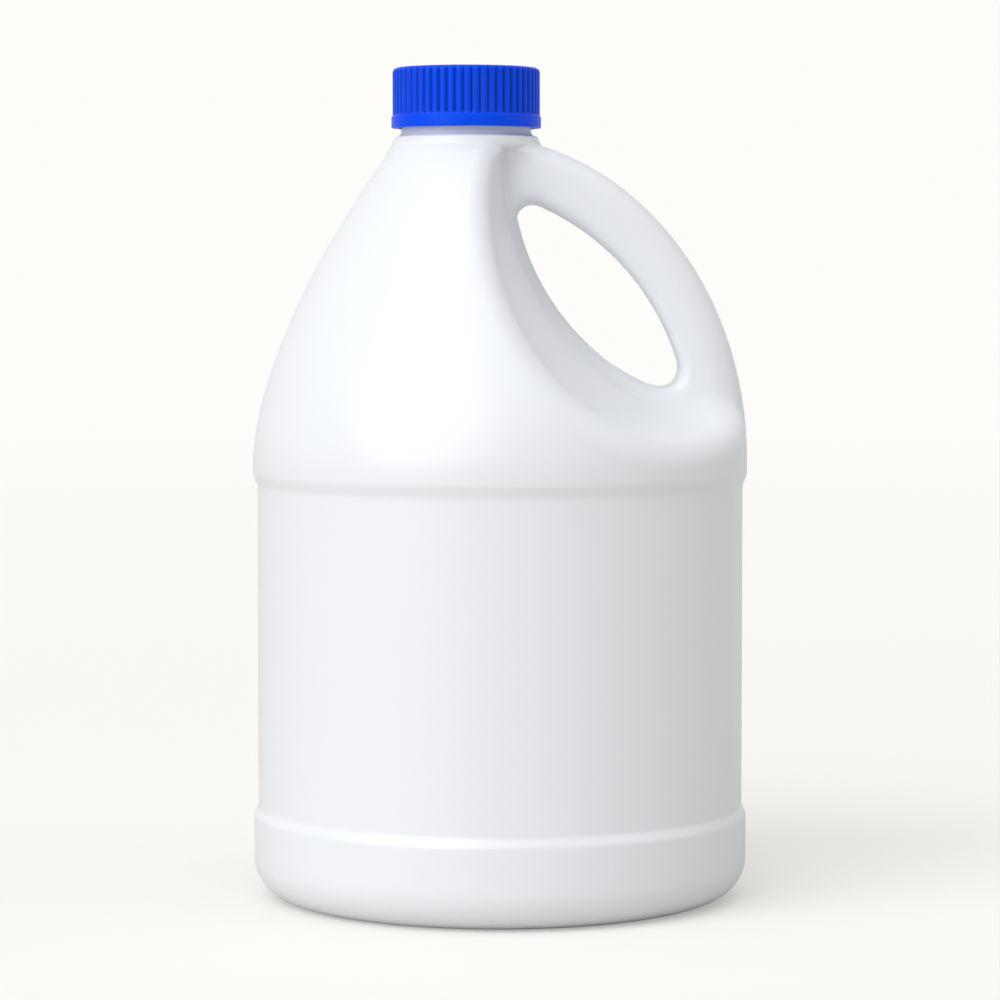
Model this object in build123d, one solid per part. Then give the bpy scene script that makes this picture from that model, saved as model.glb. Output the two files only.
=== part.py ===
from build123d import *
import os
from math import cos, pi, radians, sin, sqrt, tan

# A handled jug, blow moulded in one piece, with a ribbed screw cap and a foam liner.
# Millimetres. The origin is on the body's axis, on the surface the jug stands on.
# +Z is up, +X points to the handle and -Y is the front. The mould parts at Y = 0.

# Body: the widest radius is the same at the base bead and at the shoulder ring
BODY_RADIUS = 74.2
PANEL_DEPTH = 1.3          # how far the label panel lies below the two beads
BEAD_HEIGHT = 24.5
BEAD_STEP = 3.4
PANEL_HEIGHT = 95.5
RING_STEP = 4.6
RING_HEIGHT = 3.5
WALL = 1.2

# Base: a rounded foot, a flat ring to stand on and a pushed-up middle
FOOT_CORNER = 12.0
FOOT_RING = 5.0
PUSH_UP = 5.0
PUSH_UP_SLOPE = 0.6        # rise of the middle per unit inwards, where it leaves the ring

# Shoulder: rises from the shoulder ring to the collar under the neck
SHOULDER_HEIGHT = 94.0
NECK_OFFSET = 10.1         # the neck stands this far from the body's axis, away from the handle
LEFT_POWER = 1.61          # curve of the outline on the side without the handle
ARCH_SHARE = 0.97          # share of a quarter ellipse that the handle's outline runs through
FRONT_TRIM = 7.8           # how much flatter the shoulder is front to back than side to side
SHOULDER_LEVELS = 7
LEVEL_POWER = 1.5          # draws the levels together towards the collar, and the trim down

# Handle and the finger pocket pressed in on both sides of it
GRIP_WIDTH = 15.5          # across the handle, seen from the front
GRIP_DEPTH = 25.0          # through the handle, front to back
GRIP_OUTER_ROUND = 7.0
GRIP_INNER_ROUND = 6.0
POCKET_DRAFT = 13.0        # degrees
POCKET_ROUND = 8.0
ROUND_LIMIT = 1.37         # largest rounding of the ridge per unit of wall left below it
HOLE_TOP_SHARE = 0.9827    # height of the hole's upper tip, as a share of the handle's inner arch
HOLE_CROWN_SHARE = 0.656   # height at which the hole's upper edge touches that arch once more
HOLE_BOTTOM = 17.0         # the hole's lower tip above the shoulder ring
HOLE_BOW = 12.6            # how far the hole's lower edge bows below its chord
HOLE_TUCK = 1.8            # how far the handle's own opening is tucked behind the pocket's wall
HOLE_TOP_ROUND = 5.0
HOLE_BOTTOM_ROUND = 9.0

# Neck finish, with a right-hand thread
COLLAR_RADIUS = 21.7
COLLAR_HEIGHT = 2.7
COLLAR_ROUND = 1.2
NECK_HEIGHT = 17.7         # from the collar's top to the rim
NECK_RADIUS = 18.9
NECK_BORE = 17.0
NECK_BEAD = 0.8            # how far the plain bead at the foot of the neck stands proud
NECK_BEAD_HEIGHT = 3.4
THREAD_PITCH = 4.23
THREAD_DEPTH = 1.3
THREAD_CREST = 1.0
THREAD_FLANK = 30.0        # degrees
THREAD_TURNS = 1.75
CAP_THREAD_TURNS = 1.5
CAP_THREAD_LEAD = 0.5      # turns between the two threads' lower ends
THREAD_START = 5.6         # height of the thread's lower end above the collar's top
THREAD_ROOT = 0.3          # how far a thread is sunk into the wall that carries it

# Cap and liner
CAP_GAP = 2.4              # bare neck between the collar and the skirt
CAP_TOP = 1.6
CAP_WALL = 1.0
CAP_CORNER = 1.5
BAND_HEIGHT = 3.5
BAND_PROUD = 0.35
RIB_COUNT = 55
RIB_DEPTH = 0.55
LINER_THICKNESS = 1.0
RUNNING_CLEARANCE = 0.3    # between the cap's thread and the neck, and round the liner

# Worked out from the sizes above
PANEL_RADIUS = BODY_RADIUS - PANEL_DEPTH
PANEL_BOTTOM = BEAD_HEIGHT + BEAD_STEP
PANEL_TOP = PANEL_BOTTOM + PANEL_HEIGHT
SHOULDER_Z = PANEL_TOP + RING_STEP + RING_HEIGHT
COLLAR_Z = SHOULDER_Z + SHOULDER_HEIGHT
COLLAR_TOP = COLLAR_Z + COLLAR_HEIGHT
RIM_Z = COLLAR_TOP + NECK_HEIGHT
NECK_X = -NECK_OFFSET
CAP_BOTTOM = COLLAR_TOP + CAP_GAP
CAP_INSIDE_TOP = RIM_Z + LINER_THICKNESS
CAP_OUTSIDE_TOP = CAP_INSIDE_TOP + CAP_TOP
CAP_BORE = NECK_RADIUS + THREAD_DEPTH + RUNNING_CLEARANCE
RIB_RADIUS = CAP_BORE + CAP_WALL + RIB_DEPTH

# The handle's outline is an ellipse that is upright at the shoulder ring and ends at the collar
ARCH_FALL = 1 - sqrt(1 - ARCH_SHARE ** 2)
ARCH_HALF_WIDTH = (BODY_RADIUS + NECK_OFFSET - COLLAR_RADIUS) / ARCH_FALL
ARCH_HALF_HEIGHT = SHOULDER_HEIGHT / ARCH_SHARE
ARCH_X = BODY_RADIUS - ARCH_HALF_WIDTH
HOLE_TOP = HOLE_TOP_SHARE * (ARCH_HALF_HEIGHT - GRIP_WIDTH)
HOLE_CROWN = HOLE_CROWN_SHARE * (ARCH_HALF_HEIGHT - GRIP_WIDTH)

FRONT = Plane(origin=(0, 0, 0), x_dir=(1, 0, 0), z_dir=(0, -1, 0))
BIG = 2 * CAP_OUTSIDE_TOP  # longer than any piece, for cutting tools
NEAR = 0.01                # two measures closer than this are the same


def shoulder(inset):
    """Loft through level ellipses that reach from the left outline to the handle's outline."""
    levels = []
    for index in range(SHOULDER_LEVELS):
        share = 1 - (1 - index / (SHOULDER_LEVELS - 1)) ** LEVEL_POWER
        left = -BODY_RADIUS + (BODY_RADIUS - NECK_OFFSET - COLLAR_RADIUS) * share ** LEFT_POWER
        right = ARCH_X + ARCH_HALF_WIDTH * sqrt(1 - (ARCH_SHARE * share) ** 2)
        half_width = (right - left) / 2
        trim = FRONT_TRIM * sin(pi * share ** LEVEL_POWER) if 0 < share < 1 else 0
        level = Plane(((left + right) / 2, 0, SHOULDER_Z - inset + share * SHOULDER_HEIGHT))
        levels.append(level * Ellipse(half_width - inset, half_width - trim - inset, rotation=180))
    return loft(levels)


def lower_body(inset):
    """Revolved body: foot, base bead, label panel and shoulder ring."""
    bead = BODY_RADIUS - inset
    panel = PANEL_RADIUS - inset
    foot = BODY_RADIUS - FOOT_CORNER
    ring = foot - FOOT_RING
    top = SHOULDER_Z - inset
    with BuildPart() as body:
        with BuildSketch(Plane.XZ):
            with BuildLine():
                Polyline((0, PUSH_UP + inset), (0, top), (bead, top), (bead, PANEL_TOP + RING_STEP))
                Spline((bead, PANEL_TOP + RING_STEP), (panel, PANEL_TOP), tangents=[(0, -1), (0, -1)])
                Line((panel, PANEL_TOP), (panel, PANEL_BOTTOM))
                Spline((panel, PANEL_BOTTOM), (bead, BEAD_HEIGHT), tangents=[(0, -1), (0, -1)])
                Line((bead, BEAD_HEIGHT), (bead, FOOT_CORNER))
                RadiusArc((bead, FOOT_CORNER), (foot, inset), FOOT_CORNER - inset)
                Line((foot, inset), (ring, inset))
                Spline((ring, inset), (0, PUSH_UP + inset), tangents=[(-1, PUSH_UP_SLOPE), (-1, 0)])
            make_face()
        revolve(axis=Axis.Z)
    return body.part


def arch_point(height, inward):
    """Point on the handle's outline moved inward, at a height above the shoulder ring."""
    half_width = ARCH_HALF_WIDTH - inward
    half_height = ARCH_HALF_HEIGHT - inward
    return Vector(ARCH_X + half_width * sqrt(1 - (height / half_height) ** 2), SHOULDER_Z + height)


def circle_through(first, second, third):
    """Centre and radius of the circle through three points."""
    a, b = second - first, third - first
    a_square, b_square = a.length ** 2, b.length ** 2
    cross = 2 * (a.X * b.Y - a.Y * b.X)
    centre = first + Vector(
        b.Y * a_square - a.Y * b_square, a.X * b_square - b.X * a_square) / cross
    return centre, (centre - first).length


def hole_arc(bow):
    """Centre and radius of the arc from the hole's upper tip to its lower one, below and left."""
    upper = arch_point(HOLE_TOP, GRIP_WIDTH)
    lower = arch_point(HOLE_BOTTOM, GRIP_WIDTH)
    chord = lower - upper
    outward = Vector(chord.Y, -chord.X).normalized()
    return circle_through(upper, (upper + lower) / 2 + outward * bow, lower)


def pocket_outline(y, centre, radius):
    """The pocket seen from the front: a long arc below and left, open to the right and above."""
    def on_arc(angle):
        return centre.X - radius * cos(angle), centre.Y + radius * sin(angle)

    right = centre.X + BIG
    plane = Plane(origin=(0, y, 0), x_dir=(1, 0, 0), z_dir=(0, -1, 0))
    with BuildSketch(plane) as outline:
        with BuildLine():
            arc = ThreePointArc(on_arc(pi / 4), on_arc(-pi / 8), on_arc(-pi / 2))
            Polyline(arc @ 1, (right, centre.Y - radius), (right, (arc @ 0).Y), arc @ 0)
        make_face()
    return outline.sketch.face()


def pocket(inset):
    """Drafted cutter for the front pocket. It meets its mirror image at the parting plane."""
    centre, radius = hole_arc(HOLE_BOW)
    slope = tan(radians(POCKET_DRAFT))
    behind = GRIP_DEPTH / 2
    ahead = BODY_RADIUS + GRIP_DEPTH
    return loft([
        pocket_outline(behind, centre, radius + inset - behind * slope),
        pocket_outline(-ahead, centre, radius + inset + ahead * slope),
    ], ruled=True)


def handle_opening(inset):
    """Leaf between the handle's inner arch and the pocket's lower edge, with rounded tips."""
    arch, arch_radius = circle_through(*[
        arch_point(height, GRIP_WIDTH) for height in (HOLE_BOTTOM, HOLE_CROWN, HOLE_TOP)])
    edge, edge_radius = hole_arc(HOLE_BOW + HOLE_TUCK)
    leaf = Pos(arch) * Circle(arch_radius + inset) & Pos(edge) * Circle(edge_radius + inset)
    leaf = fillet(leaf.vertices().sort_by(Axis.Y)[-1], HOLE_TOP_ROUND + inset)
    return fillet(leaf.vertices().sort_by(Axis.X)[-1], HOLE_BOTTOM_ROUND + inset)


def handle_half(inset):
    """Front half of the handle: the shoulder's skin, a flat front and the rounded opening."""
    half_depth = GRIP_DEPTH / 2 - inset
    reach = 2 * BODY_RADIUS
    slab = Pos(NECK_X + reach / 2, -half_depth / 2, COLLAR_Z - inset - BIG / 2)
    slab = shoulder(inset) & slab * Box(reach, half_depth, BIG)
    band = slab - extrude(FRONT * handle_opening(inset), BIG, both=True)

    def front_edges(kind):
        edges = band.edges().filter_by(kind)
        return edges.filter_by(lambda edge: abs(edge.center().Y + half_depth) < NEAR)

    outer = front_edges(GeomType.BSPLINE).sort_by(SortBy.LENGTH)[-1:]
    band = fillet(outer, GRIP_OUTER_ROUND - inset)
    return fillet(front_edges(GeomType.CIRCLE), GRIP_INNER_ROUND - inset)


def mould_half(inset):
    """Front half of the jug below the collar, moved inwards by inset all over."""
    front_space = Pos(0, -BIG / 2, 0) * Box(2 * BIG, BIG, 2 * BIG)
    body = (lower_body(inset) + shoulder(inset)) & front_space
    body = body - pocket(inset)
    ridge = body.edges().filter_by(GeomType.BSPLINE).filter_by(
        lambda edge: edge.center().Y < -GRIP_DEPTH / 2)
    ridge = ridge.sort_by(SortBy.LENGTH)[-1]
    wall_below = ridge.bounding_box().min.Z - (SHOULDER_Z - inset)
    body = fillet(ridge, min(POCKET_ROUND, ROUND_LIMIT * wall_below) - inset)
    return body + handle_half(inset)


def whole(half):
    """Both mould halves, joined at the parting plane."""
    return half + mirror(half, Plane.XZ)


def screw_thread(radius, depth, crest, turns, start_z, start_turn):
    """Helical ridge on a wall of this radius. A negative depth points inwards."""
    side = 1 if depth > 0 else -1
    base = crest + 2 * abs(depth) * tan(radians(THREAD_FLANK))
    path = Helix(pitch=THREAD_PITCH, height=turns * THREAD_PITCH, radius=radius)
    with BuildSketch(Plane(origin=path @ 0, x_dir=(1, 0, 0), z_dir=path % 0)) as section:
        with BuildLine():
            Polyline(
                (-side * THREAD_ROOT, -base / 2), (0, -base / 2), (depth, -crest / 2),
                (depth, crest / 2), (0, base / 2), (-side * THREAD_ROOT, base / 2), close=True)
        make_face()
    ridge = sweep(section.sketch, path=path, is_frenet=True)
    return Pos(NECK_X, 0, start_z) * Rot(0, 0, 360 * start_turn) * ridge


def disc(radius, bottom, top):
    """Plain cylinder round the neck's axis."""
    return Pos(NECK_X, 0, (bottom + top) / 2) * Cylinder(radius, top - bottom)


def edges_at(solid, height, radius):
    """Round edges of this radius at this height."""
    level = solid.edges().filter_by(GeomType.CIRCLE)
    return level.filter_by(lambda edge: abs(edge.center().Z - height) < NEAR
                           and abs(edge.radius - radius) < NEAR)


def neck():
    """Collar, neck wall, the plain bead under the cap's skirt, and the thread."""
    collar = disc(COLLAR_RADIUS, COLLAR_Z, COLLAR_TOP)
    collar = fillet(edges_at(collar, COLLAR_TOP, COLLAR_RADIUS), COLLAR_ROUND)
    wall = disc(NECK_RADIUS, COLLAR_Z, RIM_Z)
    bead = disc(NECK_RADIUS + NECK_BEAD, COLLAR_TOP, COLLAR_TOP + NECK_BEAD_HEIGHT)
    thread = screw_thread(
        NECK_RADIUS, THREAD_DEPTH, THREAD_CREST, THREAD_TURNS, COLLAR_TOP + THREAD_START, 0)
    return collar + wall + bead + thread


def throat_radius():
    """Bore under the collar that leaves one wall between the inside and the pockets."""
    centre, radius = hole_arc(HOLE_BOW)
    side = GRIP_DEPTH / 2
    radius = radius + side * tan(radians(POCKET_DRAFT))
    reach = centre.X - sqrt(radius ** 2 - (COLLAR_Z - centre.Y) ** 2) - NECK_X
    return sqrt(reach ** 2 + side ** 2) - WALL


def bottle():
    """The jug: both mould halves and the neck, less the inside and the neck's bore."""
    outside = whole(mould_half(0)) + neck()
    throat = disc(throat_radius(), COLLAR_Z - WALL, COLLAR_TOP)
    bore = disc(NECK_BORE, COLLAR_Z + WALL, RIM_Z + WALL)
    return outside - (whole(mould_half(WALL)) + throat + bore)


def ribbed_outline():
    """Closed row of small arcs, one for each grip rib."""
    valley = RIB_RADIUS - RIB_DEPTH
    step = 2 * pi / RIB_COUNT
    with BuildSketch() as outline:
        with BuildLine():
            for rib in range(RIB_COUNT):
                angles = (rib * step, (rib + 1 / 2) * step, (rib + 1) * step)
                radii = (valley, RIB_RADIUS, valley)
                ThreePointArc(*[(r * cos(a), r * sin(a)) for r, a in zip(radii, angles)])
        make_face()
    return outline.sketch


def cap():
    """Screw cap: ribbed wall with a rounded top edge, plain skirt band, bore and inner thread."""
    barrel = disc(RIB_RADIUS, CAP_BOTTOM, CAP_OUTSIDE_TOP)
    barrel = fillet(edges_at(barrel, CAP_OUTSIDE_TOP, RIB_RADIUS), CAP_CORNER)
    ribs = Pos(NECK_X, 0, CAP_BOTTOM) * extrude(ribbed_outline(), CAP_OUTSIDE_TOP - CAP_BOTTOM)
    band_radius = RIB_RADIUS + BAND_PROUD
    band = disc(band_radius, CAP_BOTTOM, CAP_BOTTOM + BAND_HEIGHT)
    band = fillet(edges_at(band, CAP_BOTTOM + BAND_HEIGHT, band_radius), BAND_PROUD)
    shell = (barrel & ribs) + band - disc(CAP_BORE, CAP_BOTTOM, CAP_INSIDE_TOP)
    reach = CAP_BORE - NECK_RADIUS - RUNNING_CLEARANCE
    engaged = NECK_RADIUS + THREAD_DEPTH - (CAP_BORE - reach)
    below = THREAD_CREST + engaged * tan(radians(THREAD_FLANK)) + RUNNING_CLEARANCE
    start = COLLAR_TOP + THREAD_START - below + CAP_THREAD_LEAD * THREAD_PITCH
    return shell + screw_thread(
        CAP_BORE, -reach, THREAD_CREST, CAP_THREAD_TURNS, start, CAP_THREAD_LEAD)


def liner():
    """Foam sealing disc between the rim and the cap's top."""
    return disc(CAP_BORE - RUNNING_CLEARANCE, RIM_Z, CAP_INSIDE_TOP)


def write_parts():
    """One STEP file for each piece."""
    os.makedirs("parts", exist_ok=True)
    for name, make in (("bottle", bottle), ("cap", cap), ("liner", liner)):
        export_step(make(), f"parts/{name}.step")


write_parts()
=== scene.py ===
"""A handled jug with a ribbed screw cap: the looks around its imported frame.

Everything is in metres, in the frame's own axes: +Z up, +X towards the handle, -Y the front.
The jug's skin is one closed mesh. Below the collar it is the zero level of a field, found on a
grid of turns, reaches and heights. From the collar upwards, over the rim and down the inside it
is rings round the neck's axis.
"""
from types import SimpleNamespace

import bpy
import numpy as np
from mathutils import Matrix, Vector


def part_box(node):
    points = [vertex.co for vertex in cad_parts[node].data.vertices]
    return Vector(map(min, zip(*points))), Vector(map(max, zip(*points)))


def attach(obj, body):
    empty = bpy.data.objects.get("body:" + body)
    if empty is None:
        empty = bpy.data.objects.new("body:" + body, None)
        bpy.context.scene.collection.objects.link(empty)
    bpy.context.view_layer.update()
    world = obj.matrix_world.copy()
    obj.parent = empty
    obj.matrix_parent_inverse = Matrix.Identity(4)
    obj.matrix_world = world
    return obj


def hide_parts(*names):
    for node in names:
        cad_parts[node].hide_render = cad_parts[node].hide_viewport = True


bl_info = {
    "name": "Handled jug",
    "version": (1, 0, 0),
    "blender": (4, 5, 0),
    "location": "View3D > Sidebar > Jug",
    "description": "Jug, screw cap and liner, with their finishes and a plain stage",
    "category": "Add Mesh",
}

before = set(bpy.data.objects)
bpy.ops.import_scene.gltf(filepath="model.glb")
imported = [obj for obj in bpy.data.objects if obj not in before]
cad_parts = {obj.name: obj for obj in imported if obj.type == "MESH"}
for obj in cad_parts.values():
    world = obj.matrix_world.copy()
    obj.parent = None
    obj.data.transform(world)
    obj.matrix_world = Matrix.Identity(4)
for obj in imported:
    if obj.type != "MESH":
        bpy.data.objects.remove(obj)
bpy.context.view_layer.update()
JUG_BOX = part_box("bottle")
CAP_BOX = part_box("cap")
LINER_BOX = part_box("liner")

MM = 0.001
TINY = 1e-9
BASE_POWER = 7       # the higher, the flatter the base's middle before it falls to the ring
TURN_GATHER = 0.35   # how much closer together the turns lie on the handle's side
HALVINGS = 24        # rounds of halving that find the inside wall


def distance(label, note, default):
    """A length in metres that a user can change."""
    return bpy.props.FloatProperty(
        name=label, description=note, default=default, precision=5, unit="LENGTH",
        subtype="DISTANCE")


def share(label, note, default, low=0.0, high=1.0):
    """A plain number that a user can change."""
    return bpy.props.FloatProperty(
        name=label, description=note, default=default, min=low, max=high, subtype="FACTOR")


def tint(label, note, default):
    """A colour that a user can change."""
    return bpy.props.FloatVectorProperty(
        name=label, description=note, default=default, size=3, min=0, max=1, subtype="COLOR")


def turn(label, note, degrees):
    """An angle that a user can change."""
    return bpy.props.FloatProperty(
        name=label, description=note, default=np.radians(degrees), subtype="ANGLE")


class JugSizes(bpy.types.PropertyGroup):
    """Sizes of the jug's body, handle and neck."""
    body_radius: distance("Body radius", "At the base bead and the shoulder ring", JUG_BOX[1].x)
    rim_height: distance("Rim height", "From the ground to the neck's rim", JUG_BOX[1].z)
    wall: distance("Wall", "Thickness of the moulding", 1.2 * MM)
    panel_depth: distance("Panel depth", "How far the label panel lies back", 1.3 * MM)
    bead_height: distance("Bead height", "Top of the base bead", 24.5 * MM)
    bead_step: distance("Bead step", "Height of the bead's upper slope", 3.4 * MM)
    panel_top: distance("Panel top", "Upper end of the label panel", 123.4 * MM)
    ring_step: distance("Ring step", "Height of the slope up to the shoulder ring", 4.6 * MM)
    shoulder_foot: distance("Shoulder foot", "Where the shoulder starts", 131.5 * MM)
    shoulder_height: distance("Shoulder height", "From its foot to the collar", 94.0 * MM)
    foot_corner: distance("Foot corner", "Radius of the rounded foot", 12.0 * MM)
    foot_ring: distance("Foot ring", "Width of the ring it stands on", 5.0 * MM)
    push_up: distance("Push-up", "Rise of the base's middle", 5.0 * MM)
    neck_offset: distance("Neck offset", "From the body's axis, away from the handle", 10.1 * MM)
    left_power: share("Left curve", "Power of the outline without the handle", 1.61, 1.0, 3.0)
    arch_share: share("Arch share", "Share of a quarter ellipse in the handle's outline", 0.97)
    front_trim: distance("Front trim", "How much flatter the shoulder is to the front", 7.8 * MM)
    trim_power: share("Trim lean", "Draws the trim down towards the ring", 1.5, 1.0, 3.0)
    grip_width: distance("Grip width", "Across the handle, seen from the front", 15.5 * MM)
    grip_depth: distance("Grip depth", "Through the handle, front to back", 25.0 * MM)
    grip_round_top: distance("Upper edge", "Rounding of the handle at the neck", 4.5 * MM)
    grip_round_foot: distance("Lower edge", "Rounding of the handle at its foot", 9.5 * MM)
    grip_round_inside: distance("Inner edge", "Rounding of the handle at the hole", 3.5 * MM)
    pocket_draft: turn("Pocket draft", "Slope of the pocket's wall", 13.0)
    pocket_round: distance("Pocket rounding", "Rounding of the pocket's ridge", 5.0 * MM)
    hole_top: distance("Hole top", "Upper tip above the shoulder's foot", 80.0 * MM)
    hole_crown: distance("Hole crown", "Where the upper edge meets the inner arch", 53.4 * MM)
    hole_foot: distance("Hole foot", "Lower tip above the shoulder's foot", 17.0 * MM)
    hole_bow: distance("Hole bow", "How far the lower edge bows out", 12.6 * MM)
    hole_tuck: distance("Hole tuck", "Handle's opening behind the pocket's wall", 1.8 * MM)
    hole_round_top: distance("Upper tip", "Rounding of the hole's upper tip", 5.0 * MM)
    hole_round_foot: distance("Lower tip", "Rounding of the hole's lower tip", 7.0 * MM)
    hole_inset: distance("Hole inset", "Handle's inner edge, in from the arch", 1.1 * MM)
    root_top: distance("Upper root", "Hollow where the handle leaves the neck", 1.8 * MM)
    root_foot: distance("Lower root", "Hollow where the handle meets the body", 9.0 * MM)
    root_collar: distance("Collar root", "Hollow under the ledge", 5.0 * MM)
    collar_radius: distance("Collar radius", "Ledge under the neck", 21.7 * MM)
    collar_height: distance("Collar height", "Height of the ledge", 2.7 * MM)
    collar_round: distance("Collar rounding", "Rounding of the ledge", 1.2 * MM)
    neck_radius: distance("Neck radius", "Outside of the neck", 18.9 * MM)
    neck_bore: distance("Neck bore", "Inside of the neck", 17.0 * MM)
    neck_bead: distance("Neck bead", "How far the bead under the cap stands proud", 0.5 * MM)
    neck_bead_height: distance("Neck bead height", "Height of that bead", 3.4 * MM)
    neck_bead_root: distance("Neck bead root", "Height of the hollow at its foot", 2.6 * MM)


class ThreadSizes(bpy.types.PropertyGroup):
    """Sizes shared by the neck's thread and the cap's."""
    pitch: distance("Pitch", "Rise in one turn", 4.23 * MM)
    depth: distance("Depth", "Height of the thread above its wall", 1.3 * MM)
    crest: distance("Crest", "Width of the thread's crest", 1.0 * MM)
    flank: turn("Flank", "Slope of the thread's sides", 30.0)
    start: distance("Start", "Lower end above the collar's top", 5.6 * MM)
    neck_turns: share("Neck turns", "Turns on the neck", 1.75, 0.0, 4.0)
    cap_turns: share("Cap turns", "Turns in the cap", 1.5, 0.0, 4.0)
    cap_lead: share("Cap lead", "Turns from the neck's start to the cap's", 0.5)
    run_out: share("Run-out", "Turns over which a thread's end rises", 0.08)
    clearance: distance("Clearance", "Between the cap's thread and the neck", 0.3 * MM)


class CapSizes(bpy.types.PropertyGroup):
    """Sizes of the screw cap and the liner in it."""
    band_height: distance("Band height", "Height of the plain band", 3.5 * MM)
    band_proud: distance("Band proud", "How far the band stands outside the ribs", 0.35 * MM)
    ribs: bpy.props.IntProperty(name="Ribs", description="Grip ribs round the cap", default=55)
    rib_depth: distance("Rib depth", "Depth of the grooves between ribs", 0.55 * MM)
    rib_end: distance("Rib end", "Height over which a rib rises at its ends", 0.9 * MM)
    corner: distance("Corner", "Rounding of the top's edge", 1.5 * MM)
    top: distance("Top", "Thickness of the top", 1.6 * MM)
    bore: distance("Bore", "Inside radius of the skirt", 20.5 * MM)
    lip: distance("Lip", "Rounding of the skirt's lower edges", 0.25 * MM)
    dish: distance("Dish", "How far the top's middle lies below its edge", 0.25 * MM)
    liner_press: distance("Liner press", "Depth of the ring that the rim presses in", 0.12 * MM)


class Finishes(bpy.types.PropertyGroup):
    """Colours and surfaces."""
    jug: tint("Jug", "Opaque white polyethylene", (0.85, 0.87, 0.91))
    jug_gloss: share("Jug roughness", "Satin of the jug", 0.30)
    cap: tint("Cap", "Blue polypropylene", (0.0, 0.072, 0.90))
    cap_gloss: share("Cap roughness", "Satin of the cap", 0.34)
    foam: tint("Foam", "White foam of the liner", (0.80, 0.80, 0.78))
    floor: tint("Floor", "Pale floor", (0.93, 0.92, 0.885))
    backdrop: tint("Backdrop", "Pale backdrop", (0.985, 0.975, 0.955))


def sizes(scene):
    """The property values, with what follows from them, in metres and radians. The thread's
    values have names that start with thread_, and the cap's with cap_."""
    s = SimpleNamespace()
    groups = {"": scene.jug_sizes, "thread_": scene.thread_sizes, "cap_": scene.cap_sizes}
    for start, group in groups.items():
        for key in group.__annotations__:
            setattr(s, start + key, getattr(group, key))
    s.neck = -s.neck_offset
    s.collar_foot = s.shoulder_foot + s.shoulder_height
    s.collar_top = s.collar_foot + s.collar_height
    fall = 1 - np.sqrt(1 - s.arch_share ** 2)
    s.arch_half_width = (s.body_radius + s.neck_offset - s.collar_radius) / fall
    s.arch_half_height = s.shoulder_height / s.arch_share
    s.arch_x = s.body_radius - s.arch_half_width
    s.foot_outer = s.body_radius - s.foot_corner
    s.foot_inner = s.foot_outer - s.foot_ring
    upper, crown, lower = (
        inner_arch(s, height) for height in (s.hole_top, s.hole_crown, s.hole_foot))
    s.pocket_circle = circle_through(upper, bowed(upper, lower, s.hole_bow), lower)
    s.edge_circle = circle_through(
        upper, bowed(upper, lower, s.hole_bow + s.hole_tuck), lower)
    arch_x, arch_z, arch = circle_through(upper, crown, lower)
    s.arch_circle = (arch_x, arch_z, arch - s.hole_inset)
    s.cap_foot, s.cap_crown = CAP_BOX[0].z, CAP_BOX[1].z
    s.cap_band_radius = (CAP_BOX[1].x - CAP_BOX[0].x) / 2
    s.cap_rib_radius = s.cap_band_radius - s.cap_band_proud
    return s


def inner_arch(s, height):
    """Point (x, z) on the handle's inner arch, at a height above the shoulder's foot."""
    half_width = s.arch_half_width - s.grip_width
    half_height = s.arch_half_height - s.grip_width
    reach = half_width * np.sqrt(1 - (height / half_height) ** 2)
    return np.array((s.arch_x + reach, s.shoulder_foot + height))


def bowed(start, end, bow):
    """Point beside the middle of a chord, off to the right of its direction."""
    chord = end - start
    return (start + end) / 2 + bow * np.array((chord[1], -chord[0])) / np.hypot(*chord)


def circle_through(first, second, third):
    """Centre x, centre z and radius of the circle through three points."""
    a, b = second - first, third - first
    cross = 2 * (a[0] * b[1] - a[1] * b[0])
    offset = np.array((b[1] * (a @ a) - a[1] * (b @ b), a[0] * (b @ b) - b[0] * (a @ a))) / cross
    return (*(first + offset), np.hypot(*offset))


def meeting(first, second, shrink, upper):
    """Point where two circles meet once both are shrunk: the upper or the lower one."""
    a, b = np.array(first[:2]), np.array(second[:2])
    between = b - a
    apart = np.hypot(*between)
    ahead = between / apart
    along = (apart ** 2 + (first[2] - shrink) ** 2 - (second[2] - shrink) ** 2) / (2 * apart)
    aside = np.sqrt((first[2] - shrink) ** 2 - along ** 2)
    sides = (a + along * ahead + way * aside * np.array((-ahead[1], ahead[0]))
             for way in (1, -1))
    return (max if upper else min)(sides, key=lambda point: point[1])


def smooth(t):
    """The S curve 3t^2 - 2t^3 between 0 and 1, level at both ends."""
    t = np.clip(t, 0, 1)
    return t * t * (3 - 2 * t)


def round_meet(a, b, radius):
    """Where both fields are negative. The edge between them is a quarter circle of this radius."""
    u = np.maximum(radius + a, 0)
    v = np.maximum(radius + b, 0)
    return np.minimum(-radius, np.maximum(a, b)) + np.hypot(u, v)


def round_join(a, b, radius):
    """Where either field is negative. The corner between them is a hollow of this radius."""
    return -round_meet(-a, -b, radius)


def base_rise(s, reach):
    """Height of the pushed-up middle inside the standing ring: push-up * (1 - (r / ring)^7)."""
    return s.push_up * (1 - (reach / s.foot_inner) ** BASE_POWER)


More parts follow.
